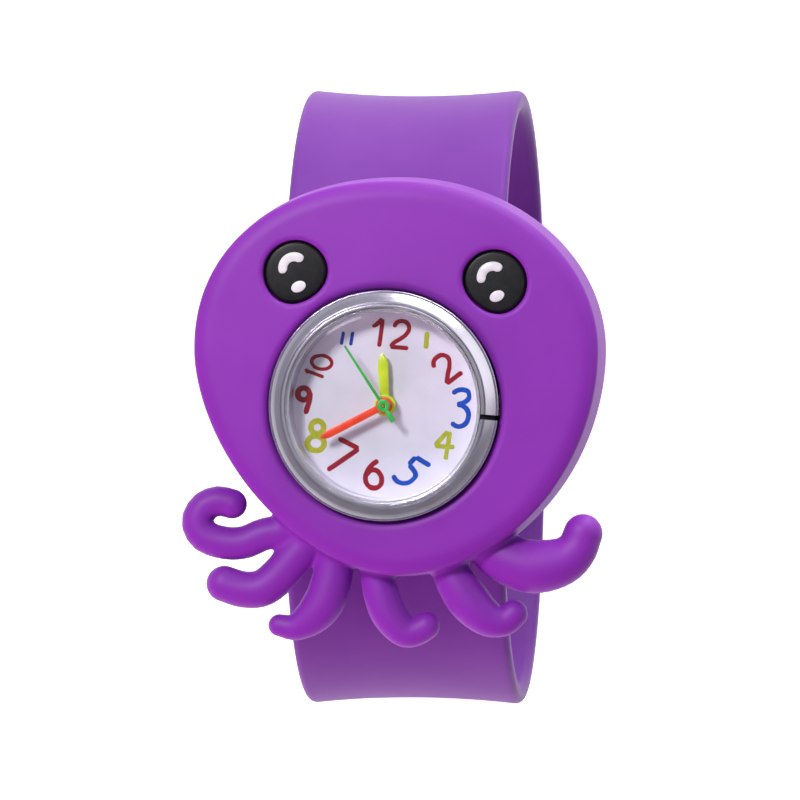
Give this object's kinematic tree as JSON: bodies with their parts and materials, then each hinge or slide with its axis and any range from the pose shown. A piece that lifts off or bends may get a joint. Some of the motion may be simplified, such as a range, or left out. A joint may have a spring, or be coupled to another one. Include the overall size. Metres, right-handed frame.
{
  "type": "toy watch",
  "caption": "Child's analogue watch with a purple silicone octopus head on a curled slap band; the round chrome quartz insert pops out and the spring strap uncurls flat.",
  "frame": {"origin": "middle of the strap's flat inner face behind the dial, where it meets the wrist", "axes": "+Z out of the dial, +Y towards 12 o'clock, +X towards 3 o'clock, along the axis of the strap loop"},
  "size_m": [0.046, 0.0688, 0.068],
  "materials": {
    "silicone": "satin moulded silicone",
    "strap_silicone": "satin moulded silicone",
    "spring_steel": "rolled strip",
    "black_inlay": "satin",
    "white_inlay": "satin",
    "chrome": "polished",
    "steel": "brushed",
    "lens_clear": "clear polished",
    "dial_white": "matt printed card",
    "black_rubber": "matt",
    "dark_plastic": "matt moulded",
    "brass": "bright",
    "copper": "enamelled wire",
    "board_green": "satin",
    "white_nylon": "matt moulded",
    "yellow_paint": "satin paint",
    "orange_paint": "satin paint",
    "green_paint": "satin paint"
  },
  "bodies": {
    "octopus": {"octopus_body": "silicone", "left_eye": "black_inlay", "right_eye": "black_inlay", "left_glint_bean": "white_inlay", "left_glint_dot": "white_inlay", "right_glint_bean": "white_inlay", "right_glint_dot": "white_inlay", "spring_middle": "spring_steel"},
    "insert": {"watch_case": "chrome", "case_back": "steel", "back_gasket": "black_rubber", "lens": "lens_clear", "spacer_ring": "chrome", "dial": "dial_white", "movement_plate": "dark_plastic", "train_bridge": "steel", "battery": "steel", "battery_clip": "brass", "circuit_board": "board_green", "quartz_crystal": "steel", "coil": "copper", "stator": "steel"},
    "second": {"second_wheel": "white_nylon", "second_hand": "green_paint"},
    "rotor": {"rotor": "dark_plastic"},
    "intermediate": {"intermediate_wheel": "white_nylon"},
    "third": {"third_wheel": "white_nylon"},
    "centre": {"centre_wheel": "white_nylon"},
    "minute": {"cannon_pinion": "brass", "minute_hand": "orange_paint"},
    "minute_wheel": {"minute_wheel": "white_nylon"},
    "hour": {"hour_wheel": "white_nylon", "hour_hand": "yellow_paint"},
    "setting": {"setting_lever": "steel"},
    "crown": {"crown": "chrome", "winding_stem": "steel"},
    "upper_1": {"upper_strap_1": "strap_silicone", "upper_spring_1": "spring_steel"},
    "upper_2": {"upper_strap_2": "strap_silicone", "upper_spring_2": "spring_steel"},
    "upper_3": {"upper_strap_3": "strap_silicone", "upper_spring_3": "spring_steel"},
    "upper_4": {"upper_strap_4": "strap_silicone", "upper_spring_4": "spring_steel"},
    "upper_5": {"upper_strap_5": "strap_silicone", "upper_spring_5": "spring_steel"},
    "lower_1": {"lower_strap_1": "strap_silicone", "lower_spring_1": "spring_steel"},
    "lower_2": {"lower_strap_2": "strap_silicone", "lower_spring_2": "spring_steel"},
    "lower_3": {"lower_strap_3": "strap_silicone", "lower_spring_3": "spring_steel"},
    "lower_4": {"lower_strap_4": "strap_silicone", "lower_spring_4": "spring_steel"},
    "lower_5": {"lower_strap_5": "strap_silicone", "lower_spring_5": "spring_steel"}
  },
  "joints": [
    {"name": "upper_strap_bend_1", "type": "hinge", "parent": "octopus", "child": "upper_1", "pos_m": [0, 0.01481, 0.00171], "axis": [1, 0, 0], "range_deg": [0, 36], "stiffness_Nm_per_rad": 1.8},
    {"name": "upper_strap_bend_2", "type": "hinge", "parent": "upper_1", "child": "upper_2", "pos_m": [0, 0.02906, -0.00865], "axis": [1, 0, 0], "range_deg": [0, 36]},
    {"name": "upper_strap_bend_3", "type": "hinge", "parent": "upper_2", "child": "upper_3", "pos_m": [0, 0.0345, -0.0254], "axis": [1, 0, 0], "range_deg": [0, 36]},
    {"name": "upper_strap_bend_4", "type": "hinge", "parent": "upper_3", "child": "upper_4", "pos_m": [0, 0.02906, -0.04215], "axis": [1, 0, 0], "range_deg": [0, 36]},
    {"name": "upper_strap_bend_5", "type": "hinge", "parent": "upper_4", "child": "upper_5", "pos_m": [0, 0.01481, -0.05251], "axis": [1, 0, 0], "range_deg": [0, 36]},
    {"name": "lower_strap_bend_1", "type": "hinge", "parent": "octopus", "child": "lower_1", "pos_m": [0, -0.01481, 0.00171], "axis": [-1, 0, 0], "range_deg": [0, 36], "stiffness_Nm_per_rad": 1.8},
    {"name": "lower_strap_bend_2", "type": "hinge", "parent": "lower_1", "child": "lower_2", "pos_m": [0, -0.02906, -0.00865], "axis": [-1, 0, 0], "range_deg": [0, 36]},
    {"name": "lower_strap_bend_3", "type": "hinge", "parent": "lower_2", "child": "lower_3", "pos_m": [0, -0.0345, -0.0254], "axis": [-1, 0, 0], "range_deg": [0, 36]},
    {"name": "lower_strap_bend_4", "type": "hinge", "parent": "lower_3", "child": "lower_4", "pos_m": [0, -0.02906, -0.04215], "axis": [-1, 0, 0], "range_deg": [0, 36]},
    {"name": "lower_strap_bend_5", "type": "hinge", "parent": "lower_4", "child": "lower_5", "pos_m": [0, -0.01481, -0.05251], "axis": [-1, 0, 0], "range_deg": [0, 36]},
    {"name": "insert_pop_out", "type": "slide", "parent": "octopus", "child": "insert", "axis": [0, 0, 1], "range_m": [0, 0.02]},
    {"name": "second_hand_turn", "type": "hinge", "parent": "insert", "child": "second", "pos_m": [0, 0, 0.007], "axis": [0, 0, -1], "continuous": true},
    {"name": "intermediate_wheel_turn", "type": "hinge", "parent": "insert", "child": "intermediate", "pos_m": [0.00135, 0.00234, 0.007], "axis": [0, 0, -1], "continuous": true},
    {"name": "rotor_turn", "type": "hinge", "parent": "insert", "child": "rotor", "pos_m": [0.00261, 0.00452, 0.007], "axis": [0, 0, -1], "continuous": true},
    {"name": "third_wheel_turn", "type": "hinge", "parent": "insert", "child": "third", "pos_m": [0.00145, -0.00251, 0.007], "axis": [0, 0, -1], "continuous": true},
    {"name": "centre_wheel_turn", "type": "hinge", "parent": "insert", "child": "centre", "pos_m": [0, 0, 0.007], "axis": [0, 0, -1], "continuous": true},
    {"name": "minute_hand_turn", "type": "hinge", "parent": "insert", "child": "minute", "pos_m": [0, 0, 0.007], "axis": [0, 0, -1], "continuous": true},
    {"name": "minute_wheel_turn", "type": "hinge", "parent": "insert", "child": "minute_wheel", "pos_m": [0.00319, -0.00267, 0.007], "axis": [0, 0, -1], "continuous": true},
    {"name": "hour_hand_turn", "type": "hinge", "parent": "insert", "child": "hour", "pos_m": [0, 0, 0.007], "axis": [0, 0, -1], "continuous": true},
    {"name": "crown_pull", "type": "slide", "parent": "insert", "child": "setting", "axis": [1, 0, 0], "range_m": [0, 0.001]},
    {"name": "crown_turn", "type": "hinge", "parent": "setting", "child": "crown", "pos_m": [0.01, 0, 0.00677], "axis": [1, 0, 0], "continuous": true}
  ],
  "couplings": [
    {"joint": "upper_strap_bend_2", "follows": "upper_strap_bend_1", "ratio": 1},
    {"joint": "upper_strap_bend_3", "follows": "upper_strap_bend_1", "ratio": 1},
    {"joint": "upper_strap_bend_4", "follows": "upper_strap_bend_1", "ratio": 1},
    {"joint": "upper_strap_bend_5", "follows": "upper_strap_bend_1", "ratio": 1},
    {"joint": "lower_strap_bend_2", "follows": "lower_strap_bend_1", "ratio": 1},
    {"joint": "lower_strap_bend_3", "follows": "lower_strap_bend_1", "ratio": 1},
    {"joint": "lower_strap_bend_4", "follows": "lower_strap_bend_1", "ratio": 1},
    {"joint": "lower_strap_bend_5", "follows": "lower_strap_bend_1", "ratio": 1},
    {"joint": "intermediate_wheel_turn", "follows": "second_hand_turn", "ratio": -5},
    {"joint": "rotor_turn", "follows": "second_hand_turn", "ratio": 30},
    {"joint": "third_wheel_turn", "follows": "second_hand_turn", "ratio": -0.13333},
    {"joint": "centre_wheel_turn", "follows": "second_hand_turn", "ratio": 0.016667},
    {"joint": "minute_wheel_turn", "follows": "minute_hand_turn", "ratio": -0.33333},
    {"joint": "hour_hand_turn", "follows": "minute_hand_turn", "ratio": 0.083333}
  ]
}
